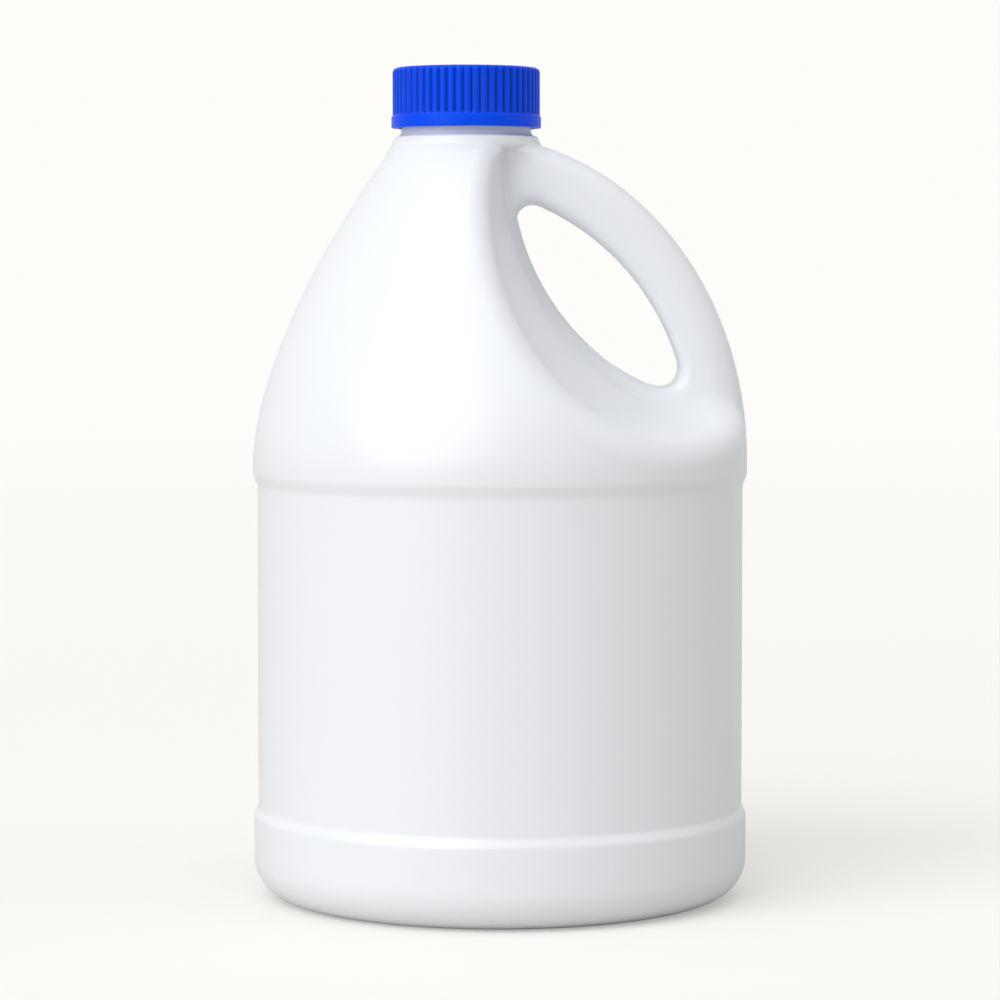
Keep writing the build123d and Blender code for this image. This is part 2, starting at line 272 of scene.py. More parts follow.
class JugField:
    """Distance fields of the jug's outside: negative inside the form, in metres."""

    LOWEST = -30 * MM        # where the table of levels starts, under the ground
    LEVEL_STEP = 0.2 * MM
    SLOPE_STEP = 0.1 * MM    # between the points whose difference gives the slope
    LONGEST_MOVE = 1.0 * MM  # in one round of settling
    LEAST_SLOPE = 0.05       # square of the slope that a move is divided by, at least
    CORE = 0.05              # share of each ellipse, round its centre, where the field is held
    POCKET_SOFT = 1.2 * MM   # takes the edge off the pocket's cone at y = 0
    BASE_ROUND = 1.0 * MM    # at the standing ring's inner edge
    COLLAR_SUNK = 1.0 * MM   # how deep the collar reaches into the shoulder
    ROOT_LEAN = 1.3          # how early up the shoulder the handle's root has its upper size
    ROOT_SIDE = (0.20, 0.44)  # shares of the grip's depth between which the root grows
    ROOT_CRISP = 0.08        # share of the root that is left in the hole
    ROOT_LEDGE = 0.4         # share of the collar's root that is left at the ledge

    def __init__(self, s):
        self.s = s
        self.z = np.arange(self.LOWEST, s.rim_height, self.LEVEL_STEP)
        rise = np.clip((self.z - s.shoulder_foot) / s.shoulder_height, 0, 1)
        left = -s.body_radius + (
            s.body_radius - s.neck_offset - s.collar_radius) * rise ** s.left_power
        right = s.arch_x + s.arch_half_width * np.sqrt(1 - (s.arch_share * rise) ** 2)
        panel = smooth((self.z - s.bead_height) / s.bead_step) * (
            1 - smooth((self.z - s.panel_top) / s.ring_step))
        half = (right - left) / 2 - s.panel_depth * panel
        trim = s.front_trim * np.sin(np.pi * rise ** s.trim_power)
        levels = ((left + right) / 2, half, half - trim)
        self.levels = levels + tuple(np.gradient(level, self.z) for level in levels)

    def envelope(self, x, y, z):
        """Level ellipses stacked up: (q - 1) over its slope, where q is the point's share of
        the way from the ellipse's centre to its edge."""
        middle, width, depth, d_middle, d_width, d_depth = (
            np.interp(z, self.z, level) for level in self.levels)
        u = (x - middle) / width
        v = y / depth
        q = np.maximum(np.hypot(u, v), self.CORE)
        up = -(u * (d_middle + u * d_width) / width + v * v * d_depth / depth)
        slope = np.sqrt((u / width) ** 2 + (v / depth) ** 2 + up ** 2) / q
        return (q - 1) / np.maximum(slope, TINY)

    def base(self, x, y, z):
        """Underside inside the standing ring, with its middle pushed up."""
        return base_rise(self.s, np.hypot(x, y)) - z

    def pocket(self, x, y, z):
        """Distance past the pocket's cone, whose circle widens with the draft away from y = 0."""
        s = self.s
        away = np.hypot(y, self.POCKET_SOFT) - self.POCKET_SOFT
        middle_x, middle_z, radius = s.pocket_circle
        radius = radius + away * np.tan(s.pocket_draft)
        return (radius - np.hypot(x - middle_x, z - middle_z)) * np.cos(s.pocket_draft)

    def body(self, x, y, z):
        """The body without its handle: envelope, rounded foot, base and pockets."""
        s = self.s
        form = round_meet(self.envelope(x, y, z), -z, s.foot_corner)
        form = round_meet(form, self.base(x, y, z), self.BASE_ROUND)
        form = np.maximum(form, z - s.collar_foot)
        return round_meet(form, self.pocket(x, y, z), s.pocket_round)

    def opening(self, x, z):
        """Leaf between two circles. Each tip is an arc round the point where the circles meet
        once both are shrunk by the tip's rounding."""
        s = self.s
        circles = s.arch_circle, s.edge_circle
        leaf = np.maximum(*(
            np.hypot(x - circle[0], z - circle[1]) - circle[2] for circle in circles))
        for radius, upper in ((s.hole_round_top, True), (s.hole_round_foot, False)):
            tip = meeting(*circles, radius, upper)
            (a_x, a_z), (b_x, b_z) = (tip - circle[:2] for circle in circles)
            u, v = x - tip[0], z - tip[1]
            cross = a_x * b_z - a_z * b_x
            beyond = ((u * b_z - v * b_x) / cross > 0) & ((a_x * v - a_z * u) / cross > 0)
            leaf = np.where(beyond, np.hypot(u, v) - radius, leaf)
        return leaf

    def handle(self, x, y, z):
        """The envelope's middle, as deep as the grip, less the opening. Its outer edge is
        rounded more and more towards the foot."""
        s = self.s
        rise = (z - s.shoulder_foot) / s.shoulder_height
        outer = s.grip_round_foot + (s.grip_round_top - s.grip_round_foot) * smooth(rise)
        band = round_meet(self.envelope(x, y, z), np.abs(y) - s.grip_depth / 2, outer)
        band = round_meet(band, -self.opening(x, z), s.grip_round_inside)
        return np.maximum(band, np.maximum(z - s.collar_foot, s.shoulder_foot - z))

    def collar(self, x, y, z):
        """Round ledge on the neck's axis, open at the top. Its foot is sunk into the shoulder,
        and rounded as much as it is sunk."""
        s = self.s
        reach = np.hypot(x - s.neck, y) - s.collar_radius
        return round_meet(reach, s.collar_foot - self.COLLAR_SUNK - z, self.COLLAR_SUNK)

    def outside(self, x, y, z):
        """Body, handle and collar, run into one another. The handle's root is hollowed beside
        the handle, and crisp in the hole."""
        s = self.s
        rise = (z - s.shoulder_foot) / s.shoulder_height
        root = s.root_foot + (s.root_top - s.root_foot) * smooth(self.ROOT_LEAN * rise)
        start, end = self.ROOT_SIDE
        beside = smooth((np.abs(y) / s.grip_depth - start) / (end - start))
        root = root * (self.ROOT_CRISP + (1 - self.ROOT_CRISP) * beside)
        form = round_join(self.body(x, y, z), self.handle(x, y, z), root)
        form = np.maximum(form, self.envelope(x, y, z))
        below = smooth((s.collar_foot - z) / s.collar_height)
        under = s.root_collar * (self.ROOT_LEDGE + (1 - self.ROOT_LEDGE) * below)
        return round_join(form, self.collar(x, y, z), under)

    def settle(self, points, rounds=4):
        """Moves points along the field's slope until they lie on its zero level."""
        h = self.SLOPE_STEP
        for _ in range(rounds):
            x, y, z = points.T
            value = self.outside(x, y, z)
            slope = np.stack([
                self.outside(x + h, y, z) - self.outside(x - h, y, z),
                self.outside(x, y + h, z) - self.outside(x, y - h, z),
                self.outside(x, y, z + h) - self.outside(x, y, z - h)], axis=1) / (2 * h)
            steep = np.maximum((slope ** 2).sum(axis=1), self.LEAST_SLOPE)
            move = np.clip(value / steep, -self.LONGEST_MOVE, self.LONGEST_MOVE)
            points = points - slope * move[:, None]
        return points


def axis_x(s, z):
    """The grid's axis: over the body's middle below, and moving to the neck's above."""
    return s.neck * smooth((z - s.shoulder_foot) / s.shoulder_height)


def turns(count, shift=0.0):
    """Angles round the axis, drawn closer together on the handle's side."""
    even = 2 * np.pi * (np.arange(count) + shift) / count
    return even - TURN_GATHER * np.sin(even)


def spaced(*spans):
    """Levels from spans of (start, end, step), each with its own even step."""
    levels = []
    for start, end, step in spans:
        count = max(1, round((end - start) / step))
        levels.append(np.linspace(start, end, count, endpoint=False))
    return np.append(np.concatenate(levels), spans[-1][1])


def surface_net(values, places):
    """Closed quads where a field changes sign on a grid of (reach, turn, height).

    Each cell that the surface crosses has one corner, at the mean of the crossings on the
    cell's edges. Each crossed edge has one quad, through the four cells round it. Turns wrap.
    Gives the corners, the quads, and the number of the cell that each corner is in.
    """
    reaches, rounds, heights = values.shape
    cells = (reaches - 1, rounds, heights - 1)
    total = np.zeros((np.prod(cells), 4))
    quads = []
    for axis in range(3):
        if axis == 1:
            other, far = np.roll(values, -1, axis=1), np.roll(places, -1, axis=1)
            near, here = values, places
        else:
            low = [slice(None)] * 3
            high = [slice(None)] * 3
            low[axis], high[axis] = slice(None, -1), slice(1, None)
            near, here = values[tuple(low)], places[tuple(low)]
            other, far = values[tuple(high)], places[tuple(high)]
        at = np.argwhere((near < 0) != (other < 0))
        key = tuple(at.T)
        part = (near[key] / (near[key] - other[key]))[:, None]
        crossing = here[key] * (1 - part) + far[key] * part
        b, c = (axis + 1) % 3, (axis + 2) % 3
        ring = []
        for back_b, back_c in ((1, 1), (0, 1), (0, 0), (1, 0)):
            cell = at.copy()
            cell[:, b] -= back_b
            cell[:, c] -= back_c
            cell[:, 1] %= rounds
            real = ((cell >= 0) & (cell < cells)).all(axis=1)
            index = np.where(real, np.ravel_multi_index(tuple(cell.T), cells, mode="clip"), -1)
            for column in range(3):
                total[:, column] += np.bincount(
                    index[real], crossing[real, column], len(total))
            total[:, 3] += np.bincount(index[real], minlength=len(total))
            ring.append(index)
        ring = np.stack(ring, axis=1)
        outward = near[key] < 0
        ring[~outward] = ring[~outward, ::-1]
        quads.append(ring[(ring >= 0).all(axis=1)])
    used = total[:, 3] > 0
    number = np.cumsum(used) - 1
    points = total[used, :3] / total[used, 3:]
    return points, number[np.concatenate(quads)], np.flatnonzero(used)


def relaxed(points, quads, part):
    """Points drawn part of the way to the mean of their neighbours along the quads' sides."""
    start, end = quads.ravel(), np.roll(quads, -1, axis=1).ravel()
    count = np.bincount(start, minlength=len(points))
    mean = np.stack([
        np.bincount(start, points[end, column], len(points)) / count for column in range(3)], 1)
    return points + part * (mean - points)


def rings_between(first, count, rounds):
    """Quads between rings of corners that are numbered one ring after another."""
    ring, step = np.meshgrid(np.arange(count - 1), np.arange(rounds), indexing="ij")
    ahead = (step + 1) % rounds
    base = first + ring * rounds
    quads = np.stack([base + step, base + ahead, base + rounds + ahead, base + rounds + step], -1)
    return quads.reshape(-1, 4)


def strip(lower, upper):
    """Quads between two rings given as corner numbers."""
    return np.stack([lower, np.roll(lower, -1), np.roll(upper, -1), upper], axis=1)


def fan(ring, pole):
    """Triangles from a ring of corners to one pole."""
    return np.stack([ring, np.roll(ring, -1), np.full(len(ring), pole)], axis=1)


def ring_points(middle, reach, angle, height):
    """Points round an axis: (middle + reach cos, reach sin, height), as wide as the widest."""
    return np.stack(np.broadcast_arrays(
        middle + reach * np.cos(angle), reach * np.sin(angle), height), axis=-1)


def closed_rings(rings, first_pole, last_pole):
    """Corners, quads and triangles of a skin made of rings, with a pole at either end."""
    count, rounds = rings.shape[:2]
    last = count * rounds
    points = np.concatenate([rings.reshape(-1, 3), [first_pole, last_pole]])
    triangles = np.concatenate([
        fan(np.arange(rounds)[::-1], last), fan(np.arange(last - rounds, last), last + 1)])
    return points, rings_between(0, count, rounds), triangles


def mesh_object(name, points, quads, triangles=()):
    """A smooth mesh from whole arrays of corners and faces, linked at the origin."""
    mesh = bpy.data.meshes.new(name)
    triangles = np.asarray(triangles, int).reshape(-1, 3)
    loops = np.concatenate([quads.ravel(), triangles.ravel()])
    starts = np.concatenate([
        np.arange(len(quads)) * 4, 4 * len(quads) + np.arange(len(triangles)) * 3])
    mesh.vertices.add(len(points))
    mesh.vertices.foreach_set("co", points.astype(np.float32).ravel())
    mesh.loops.add(len(loops))
    mesh.loops.foreach_set("vertex_index", loops.astype(np.int32))
    mesh.polygons.add(len(starts))
    mesh.polygons.foreach_set("loop_start", starts.astype(np.int32))
    mesh.update(calc_edges=True)
    if mesh.validate():
        raise RuntimeError(f"{name}: the mesh had bad faces")
    mesh.shade_smooth()
    piece = bpy.data.objects.new(name, mesh)
    bpy.context.scene.collection.objects.link(piece)
    return piece


def thread_ridge(s, angle, z, start, turns_count, depth):
    """Height of a right-hand thread above its wall.

    A centre line climbs one pitch a turn. The ridge is flat over its crest and falls in an S
    curve over the width of a flank. Its ends rise in the same curve over the run-out.
    """
    flank = depth * np.tan(s.thread_flank)
    height = np.zeros(np.broadcast(angle, z).shape)
    for lap in range(int(np.ceil(turns_count)) + 1):
        along = np.mod(angle, 2 * np.pi) / (2 * np.pi) + lap
        centre = start + along * s.thread_pitch
        side = (s.thread_crest / 2 + flank - np.abs(z - centre)) / flank
        ends = np.minimum(along, turns_count - along) / s.thread_run_out
        height = np.maximum(height, depth * smooth(side) * smooth(ends))
    return height


def arc(centre_r, centre_z, radius, start, end, count):
    """Points (reach, height) along a round corner, from one angle to another in degrees."""
    angle = np.radians(np.linspace(start, end, count))
    return np.stack([centre_r + radius * np.cos(angle), centre_z + radius * np.sin(angle)], 1)


def line(r0, z0, r1, z1, step):
    """Points (reach, height) along a straight run, its end left out."""
    count = max(1, int(round(np.hypot(r1 - r0, z1 - z0) / step)))
    t = np.linspace(0, 1, count, endpoint=False)[:, None]
    return np.array((r0, z0)) * (1 - t) + np.array((r1, z1)) * t


def neck_rings(s, angle):
    """Rings from the collar up the threaded neck, over the rim and down the bore. The hollow
    at the bead's foot is a quarter ellipse. A run starts or ends a little off the arc beside
    it, so that no ring is doubled."""
    k, rim = s.collar_round, 0.5 * MM
    bead = s.neck_radius + s.neck_bead
    bead_top = s.collar_top + s.neck_bead_height
    root = 0.96 * MM     # reach of the hollow at the bead's foot
    profile = np.concatenate([
        arc(s.collar_radius - k, s.collar_top - k, k, 0, 90, 7),
        line(s.collar_radius - 1.07 * k, s.collar_top, bead + root, s.collar_top, 0.5 * MM),
        arc(0, 0, 1, 270, 180, 7) * (root, s.neck_bead_root)
        + (bead + root, s.collar_top + s.neck_bead_root),
        line(bead, s.collar_top + 1.1 * s.neck_bead_root, bead, bead_top - s.neck_bead, 0.5 * MM),
        arc(s.neck_radius, bead_top - s.neck_bead, s.neck_bead, 0, 80, 6),
        line(s.neck_radius, bead_top + 0.1 * MM, s.neck_radius, s.rim_height - rim, 0.32 * MM),
        arc(s.neck_radius - rim, s.rim_height - rim, rim, 0, 90, 5),
        arc(s.neck_bore + rim, s.rim_height - rim, rim, 90, 180, 5),
        line(s.neck_bore, s.rim_height - 2 * rim, s.neck_bore, s.collar_foot + 1.0 * MM, 1.5 * MM),
    ])
    reach, height = profile[:, :1], profile[:, 1:]
    ridge = thread_ridge(
        s, angle[None, :], height, s.collar_top + s.thread_start, s.thread_neck_turns,
        s.thread_depth)
    on_wall = np.isclose(reach, s.neck_radius, atol=1e-6) & (height > bead_top)
    return ring_points(s.neck, reach + np.where(on_wall, ridge, 0), angle, height)


def inside_rings(s, field, angle):
    """Rings down the inside wall: at each height and turn, the reach at which the body's own
    field is one wall deep, found by halving. Then the foot, the ring and the risen middle."""
    z = spaced(
        (s.collar_foot - 0.4 * MM, s.shoulder_foot, -2.4 * MM),
        (s.shoulder_foot, s.panel_top, -1.6 * MM),
        (s.panel_top, s.bead_height + s.bead_step, -8.0 * MM),
        (s.bead_height + s.bead_step, s.bead_height, -0.9 * MM),
        (s.bead_height, s.foot_corner, -4.0 * MM))[:, None]
    middle = axis_x(s, z)
    innermost = 2.0 * MM
    shape = (len(z), len(angle))
    low, high = np.full(shape, innermost), np.full(shape, s.body_radius + MM)
    for _ in range(HALVINGS):
        half = (low + high) / 2
        x, y = middle + half * np.cos(angle), half * np.sin(angle)
        deep = np.maximum(field.body(x, y, z), field.envelope(x, y, z)) < -s.wall
        low, high = np.where(deep, half, low), np.where(deep, high, half)
    wall = ring_points(middle, low, angle, z)
    corner = s.foot_corner - s.wall
    foot = np.concatenate([
        arc(s.foot_outer, s.foot_corner, corner, 0, -90, 9)[1:],
        line(s.foot_outer - MM, s.wall, s.foot_inner, s.wall, 2 * MM)])
    reach = np.linspace(s.foot_inner, innermost, 16)
    risen = np.stack([reach, s.wall + base_rise(s, reach)], 1)
    base = np.concatenate([foot, risen])
    return np.concatenate([wall, ring_points(0, base[:, :1], angle, base[:, 1:])])


def jug_mesh(s):
    """The jug's closed skin: the net below the collar, then rings over the neck and inside."""
    field = JugField(s)
    join = s.collar_top - s.collar_round
    cell = 0.5 * MM
    middle_part = 60 * MM
    reach = spaced(
        (0, middle_part, 1.5 * MM), (middle_part, s.body_radius + 2 * MM, 1.6 * MM))
    height = spaced(
        (-1 * MM, s.foot_corner, 1.1 * MM), (s.foot_corner, s.bead_height - MM, 2.2 * MM),
        (s.bead_height - MM, s.bead_height + s.bead_step + MM, 0.5 * MM),
        (s.bead_height + s.bead_step + MM, s.panel_top - MM, 3.4 * MM),
        (s.panel_top - MM, s.panel_top + s.ring_step + MM, 0.55 * MM),
        (s.panel_top + s.ring_step + MM, s.shoulder_foot, 1.0 * MM),
        (s.shoulder_foot, s.collar_foot - 4 * MM, 1.5 * MM),
        (s.collar_foot - 4 * MM, join + cell / 2, cell))
    rounds = 224
    angle = turns(rounds)
    r, t, z = np.meshgrid(reach, angle, height, indexing="ij")
    places = ring_points(axis_x(s, z), r, t, z)
    values = field.outside(places[..., 0], places[..., 1], places[..., 2])
    points, quads, cells = surface_net(values, places)
    points = field.settle(points)
    for _ in range(2):
        points = field.settle(relaxed(points, quads, 0.5), 2)
    points[:, 2] = np.maximum(points[:, 2], 0)

    shape = (len(reach) - 1, rounds, len(height) - 1)
    at_reach, at_turn, at_height = np.unravel_index(cells, shape)
    middles = turns(rounds, 0.5)
    edge = np.flatnonzero(at_height == shape[2] - 1)
    edge = edge[np.argsort(at_turn[edge])]
    pole = np.flatnonzero(at_reach == 0)
    pole = pole[np.argsort(at_turn[pole])]
    if len(edge) != rounds or len(pole) != rounds:
        raise RuntimeError(f"the jug's net has {len(edge)} corners at its edge, {len(pole)} below")
    points[edge] = ring_points(s.neck, s.collar_radius, middles, join)

    rings = np.concatenate([neck_rings(s, middles)[1:], inside_rings(s, field, middles)])
    first = len(points)
    last = first + rings.shape[0] * rounds
    quads = np.concatenate([
        quads, strip(edge, np.arange(first, first + rounds)),
        rings_between(first, rings.shape[0], rounds)])
    centre = [points[pole].mean(axis=0), rings[-1].mean(axis=0)]
    triangles = np.concatenate([
        fan(pole[::-1], last), fan(np.arange(last - rounds, last), last + 1)])
    points = np.concatenate([points, rings.reshape(-1, 3), centre])
    return points, quads, triangles


def cap_mesh(s):
    """The cap: one closed profile carried round the neck's axis. The ribs are a row of arcs,
    1 - (2u)^2 across each rib, that rise and end over the rib's ends. Gives the skin's corners,
    quads and triangles, and how deep between two ribs each corner lies, from 0 to 1, which the
    cap's material also uses as painted shade."""
    per_rib = 12
    rounds = s.cap_ribs * per_rib
    angle = 2 * np.pi * np.arange(rounds) / rounds
    k, lip, crown, foot = s.cap_corner, s.cap_lip, s.cap_crown, s.cap_foot
    rib, band, bore = s.cap_rib_radius, s.cap_band_radius, s.cap_bore
    step_z = foot + s.cap_band_height
    ceiling = crown - s.cap_top
    fillet = 0.4 * MM
    profile = np.concatenate([
        line(1.5 * MM, crown - s.cap_dish, rib - k - 1.6 * MM, crown - s.cap_dish, 2.5 * MM),
        line(rib - k - 1.2 * MM, crown, rib - k, crown, 0.5 * MM),
        arc(rib - k, crown - k, k, 90, 0, 9),
        line(rib, crown - k - 0.25 * MM, rib, step_z + 1.2 * MM, 0.5 * MM),
        line(rib, step_z + 1.0 * MM, rib, step_z + 0.2 * MM, 0.16 * MM),
        arc(band - s.cap_band_proud, step_z - s.cap_band_proud, s.cap_band_proud, 80, 0, 5),
        line(band, step_z - 0.6 * MM, band, foot + lip, 0.8 * MM),
        arc(band - lip, foot + lip, lip, 0, -90, 4),
        arc(bore + lip, foot + lip, lip, 270, 180, 4),
        line(bore, foot + 1.6 * lip, bore, ceiling - fillet, 0.27 * MM),
        arc(bore - fillet, ceiling - fillet, fillet, 0, 90, 4),
        line(bore - fillet - MM, ceiling, 1.5 * MM, ceiling, 3 * MM)])
    reach, height = profile[:, :1], profile[:, 1:]
    across = np.mod(angle * s.cap_ribs / (2 * np.pi), 1) - 0.5
    above_band = np.argmax(np.isclose(reach[:, 0], band))
    outer = np.arange(len(reach))[:, None] < above_band
    rib_top = crown - 0.35 * MM
    ends = smooth((rib_top - height) / s.cap_rib_end) * smooth(
        (height - step_z) / s.cap_rib_end)
    # Painted shade: this depth between ribs also goes to the cap's material, which darkens the
    # colour in the grooves.
    groove_depth_and_shade = np.where(outer, (2 * across) ** 2 * ends, 0)
    inner = ~outer & np.isclose(reach, bore, atol=1e-6)
    clear = s.neck_radius + s.thread_clearance
    depth = bore - clear
    engaged = s.neck_radius + s.thread_depth - clear
    below = s.thread_crest + engaged * np.tan(s.thread_flank) + s.thread_clearance
    start = s.collar_top + s.thread_start - below + s.thread_cap_lead * s.thread_pitch
    ridge = thread_ridge(
        s, angle[None, :] - 2 * np.pi * s.thread_cap_lead, height, start, s.thread_cap_turns,
        depth)
    reach = reach - s.cap_rib_depth * groove_depth_and_shade - np.where(inner, ridge, 0)
    rings = ring_points(s.neck, reach, angle, height)[::-1]
    skin = closed_rings(rings, (s.neck, 0, ceiling), (s.neck, 0, crown - s.cap_dish))
    return *skin, np.append(groove_depth_and_shade[::-1].ravel(), (0, 0))


def liner_mesh(s):
    """The liner: a thin disc with round edges and the ring that the neck's rim presses in."""
    rounds = 128
    angle = 2 * np.pi * np.arange(rounds) / rounds
    low, high = LINER_BOX[0].z, LINER_BOX[1].z
    radius = (LINER_BOX[1].x - LINER_BOX[0].x) / 2
    k = 0.3 * MM
    slope = 0.4 * MM
    under = line(1 * MM, low, radius - k - 0.2 * MM, low, 0.35 * MM)
    pressed = smooth((under[:, 0] - s.neck_bore) / slope) * smooth(
        (s.neck_radius - under[:, 0]) / slope)
    under[:, 1] += s.cap_liner_press * pressed
    profile = np.concatenate([
        under, arc(radius - k, low + k, k, -90, 0, 5),
        arc(radius - k, high - k, k, 0, 90, 5),
        line(radius - 2 * k, high, 1 * MM, high, 2.5 * MM)])
    rings = ring_points(s.neck, profile[:, :1], angle, profile[:, 1:])
    return closed_rings(rings, (s.neck, 0, low), (s.neck, 0, high))


class JUG_OT_body(bpy.types.Operator):
    """Make the jug: body, handle, collar, threaded neck and inside, in one skin"""
    bl_idname = "jug.body"
    bl_label = "Jug"

    def execute(self, context):
        piece = mesh_object("jug_skin", *jug_mesh(sizes(context.scene)))
        piece.data.materials.append(plastic_jug(context.scene))
        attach(piece, "bottle")
        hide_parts("bottle")
        return {"FINISHED"}


class JUG_OT_cap(bpy.types.Operator):
    """Make the ribbed screw cap with its inner thread"""
    bl_idname = "jug.cap"
    bl_label = "Screw cap"

    def execute(self, context):
        points, quads, triangles, groove_depth_and_shade = cap_mesh(sizes(context.scene))
        piece = mesh_object("screw_cap", points, quads, triangles)
        # Stores the depth between ribs for the cap's material, which paints shade into the grooves
        # with it.
        attribute = piece.data.attributes.new("groove_depth_and_shade", "FLOAT", "POINT")
        attribute.data.foreach_set("value", groove_depth_and_shade.astype(np.float32))
        piece.data.materials.append(plastic_cap(context.scene))
        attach(piece, "cap")
        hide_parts("cap")
        return {"FINISHED"}


class JUG_OT_liner(bpy.types.Operator):
    """Make the foam disc that seals the cap on the rim"""
    bl_idname = "jug.liner"
    bl_label = "Liner"

    def execute(self, context):
        piece = mesh_object("foam_liner", *liner_mesh(sizes(context.scene)))
        piece.data.materials.append(foam_liner(context.scene))
        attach(piece, "liner")
        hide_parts("liner")
        return {"FINISHED"}


class Nodes:
    """Short way to add and join shader nodes in one tree."""

    def __init__(self, tree):
        self.tree = tree

    def add(self, kind, values, **settings):
        """A new node, with its settings and then its inputs."""
        node = self.tree.nodes.new(kind)
        for key, value in settings.items():
            setattr(node, key, value)
        self.feed(node, values)
        return node

    def feed(self, node, values):
        """Sets inputs of a node. A socket is linked to it, and anything else is its value."""
        for key, value in values.items():
            if isinstance(value, bpy.types.NodeSocket):
                self.tree.links.new(value, node.inputs[key])
            else:
                node.inputs[key].default_value = value

    def place(self):
        """Where the point is on the object, in metres."""
        return self.add("ShaderNodeTexCoord", {}).outputs["Object"]


def new_group(name, inputs, outputs):
    """An empty node group with named sockets. Gives its nodes, input node and output node."""
    tree = bpy.data.node_groups.new(name, "ShaderNodeTree")
    for label, kind, default in inputs:
        socket = tree.interface.new_socket(label, in_out="INPUT", socket_type=kind)
        socket.default_value = default
    for label, kind in outputs:
        tree.interface.new_socket(label, in_out="OUTPUT", socket_type=kind)
    return Nodes(tree), tree.nodes.new("NodeGroupInput"), tree.nodes.new("NodeGroupOutput")


def moulded_grain():
    """Group: the fine orange-peel height of moulded plastic, and a slow drift for its gloss."""
    found = bpy.data.node_groups.get("moulded grain")
    if found:
        return found
    nodes, entry, leave = new_group(
        "moulded grain",
        [("Fine scale", "NodeSocketFloat", 900.0), ("Slow scale", "NodeSocketFloat", 25.0)],
        [("Height", "NodeSocketFloat"), ("Drift", "NodeSocketFloat")])
    place = nodes.place()
    fine = nodes.add("ShaderNodeTexNoise", {
        "Vector": place, "Scale": entry.outputs["Fine scale"], "Detail": 3.0, "Roughness": 0.55})
    slow = nodes.add("ShaderNodeTexNoise", {
        "Vector": place, "Scale": entry.outputs["Slow scale"], "Detail": 4.0, "Roughness": 0.6})
    nodes.feed(leave, {"Height": fine.outputs["Fac"], "Drift": slow.outputs["Fac"]})
    return nodes.tree


def grain(nodes, fine_scale, slow_scale):
    """The outputs of a moulded grain group, placed with its own two scales."""
    return nodes.add("ShaderNodeGroup", {
        "Fine scale": fine_scale, "Slow scale": slow_scale}, node_tree=moulded_grain()).outputs


def new_material(name):
    """A material with a plain Principled shader. Gives the material, its nodes and the shader."""
    material = bpy.data.materials.new(name)
    material.use_nodes = True
    nodes = Nodes(material.node_tree)
    return material, nodes, material.node_tree.nodes["Principled BSDF"]


def gloss_range(nodes, mask, middle, spread):
    """Roughness from middle - spread to middle + spread, over the part of a mask's range where
    most of a noise lies."""
    return nodes.add("ShaderNodeMapRange", {
        "Value": mask, "From Min": 0.3, "From Max": 0.7,
        "To Min": middle - spread, "To Max": middle + spread}).outputs["Result"]


def two_tones(nodes, mask, colour, first, second):
    """A colour times the first share where a mask is 0, and times the second where it is 1."""
    return nodes.add("ShaderNodeMix", {
        "Factor": mask,
        "A": (*(first * channel for channel in colour), 1.0),
        "B": (*(second * channel for channel in colour), 1.0)},
        data_type="RGBA").outputs["Result"]


def plastic_jug(scene):
    """Satin white polyethylene, with a fine parting line at y = 0."""
    look = scene.finishes
    material, nodes, shader = new_material("satin_polyethylene")
    moulded = grain(nodes, 700.0, 18.0)
    split = nodes.add("ShaderNodeSeparateXYZ", {"Vector": nodes.place()})
    away = nodes.add("ShaderNodeMath", {0: split.outputs["Y"]}, operation="ABSOLUTE")
    seam = nodes.add("ShaderNodeMapRange", {
        "Value": away.outputs[0], "From Min": 0.10 * MM, "From Max": 0.32 * MM,
        "To Min": 1.0, "To Max": 0.0}, interpolation_type="SMOOTHSTEP")
    peel = nodes.add("ShaderNodeBump", {
        "Height": moulded["Height"], "Strength": 0.035, "Distance": 0.1 * MM})
    line_bump = nodes.add("ShaderNodeBump", {
        "Height": seam.outputs["Result"], "Normal": peel.outputs["Normal"],
        "Strength": 0.6, "Distance": 0.12 * MM})
    nodes.feed(shader, {
        "Base Color": two_tones(nodes, moulded["Drift"], look.jug, 0.985, 1.0),
        "Roughness": gloss_range(nodes, moulded["Drift"], look.jug_gloss, 0.02),
        "Normal": line_bump.outputs["Normal"], "IOR": 1.5})
    return material


def plastic_cap(scene):
    """Satin blue polypropylene, with painted shade in the grooves between the ribs, where the
    colour falls to 0.35 of itself at the deepest.
    """
    look = scene.finishes
    material, nodes, shader = new_material("satin_polypropylene")
    moulded = grain(nodes, 1800.0, 60.0)
    groove_depth_and_shade = nodes.add("ShaderNodeAttribute", {}, attribute_name="groove_depth_and_shade")
    peel = nodes.add("ShaderNodeBump", {
        "Height": moulded["Height"], "Strength": 0.05, "Distance": 0.08 * MM})
    nodes.feed(shader, {
        # Painted shade: the colour darkens to 0.35 of itself where the ribs' grooves are deepest.
        "Base Color": two_tones(nodes, groove_depth_and_shade.outputs["Fac"], look.cap, 1.0, 0.35),
        "Roughness": gloss_range(nodes, moulded["Drift"], look.cap_gloss, 0.03),
        "Normal": peel.outputs["Normal"], "IOR": 1.49, "Specular IOR Level": 0.12})
    return material


def foam_liner(scene):
    """Matt white foam with small closed cells."""
    look = scene.finishes
    material, nodes, shader = new_material("closed_cell_foam")
    cells = nodes.add("ShaderNodeTexVoronoi", {"Vector": nodes.place(), "Scale": 2600.0})
    depth = cells.outputs["Distance"]
    pits = nodes.add("ShaderNodeBump", {"Height": depth, "Strength": 0.3, "Distance": 0.1 * MM})
    nodes.feed(shader, {
        "Base Color": two_tones(nodes, depth, look.foam, 1.0, 0.9),
        "Roughness": gloss_range(nodes, depth, 0.75, 0.05),
        "Normal": pits.outputs["Normal"]})
    return material


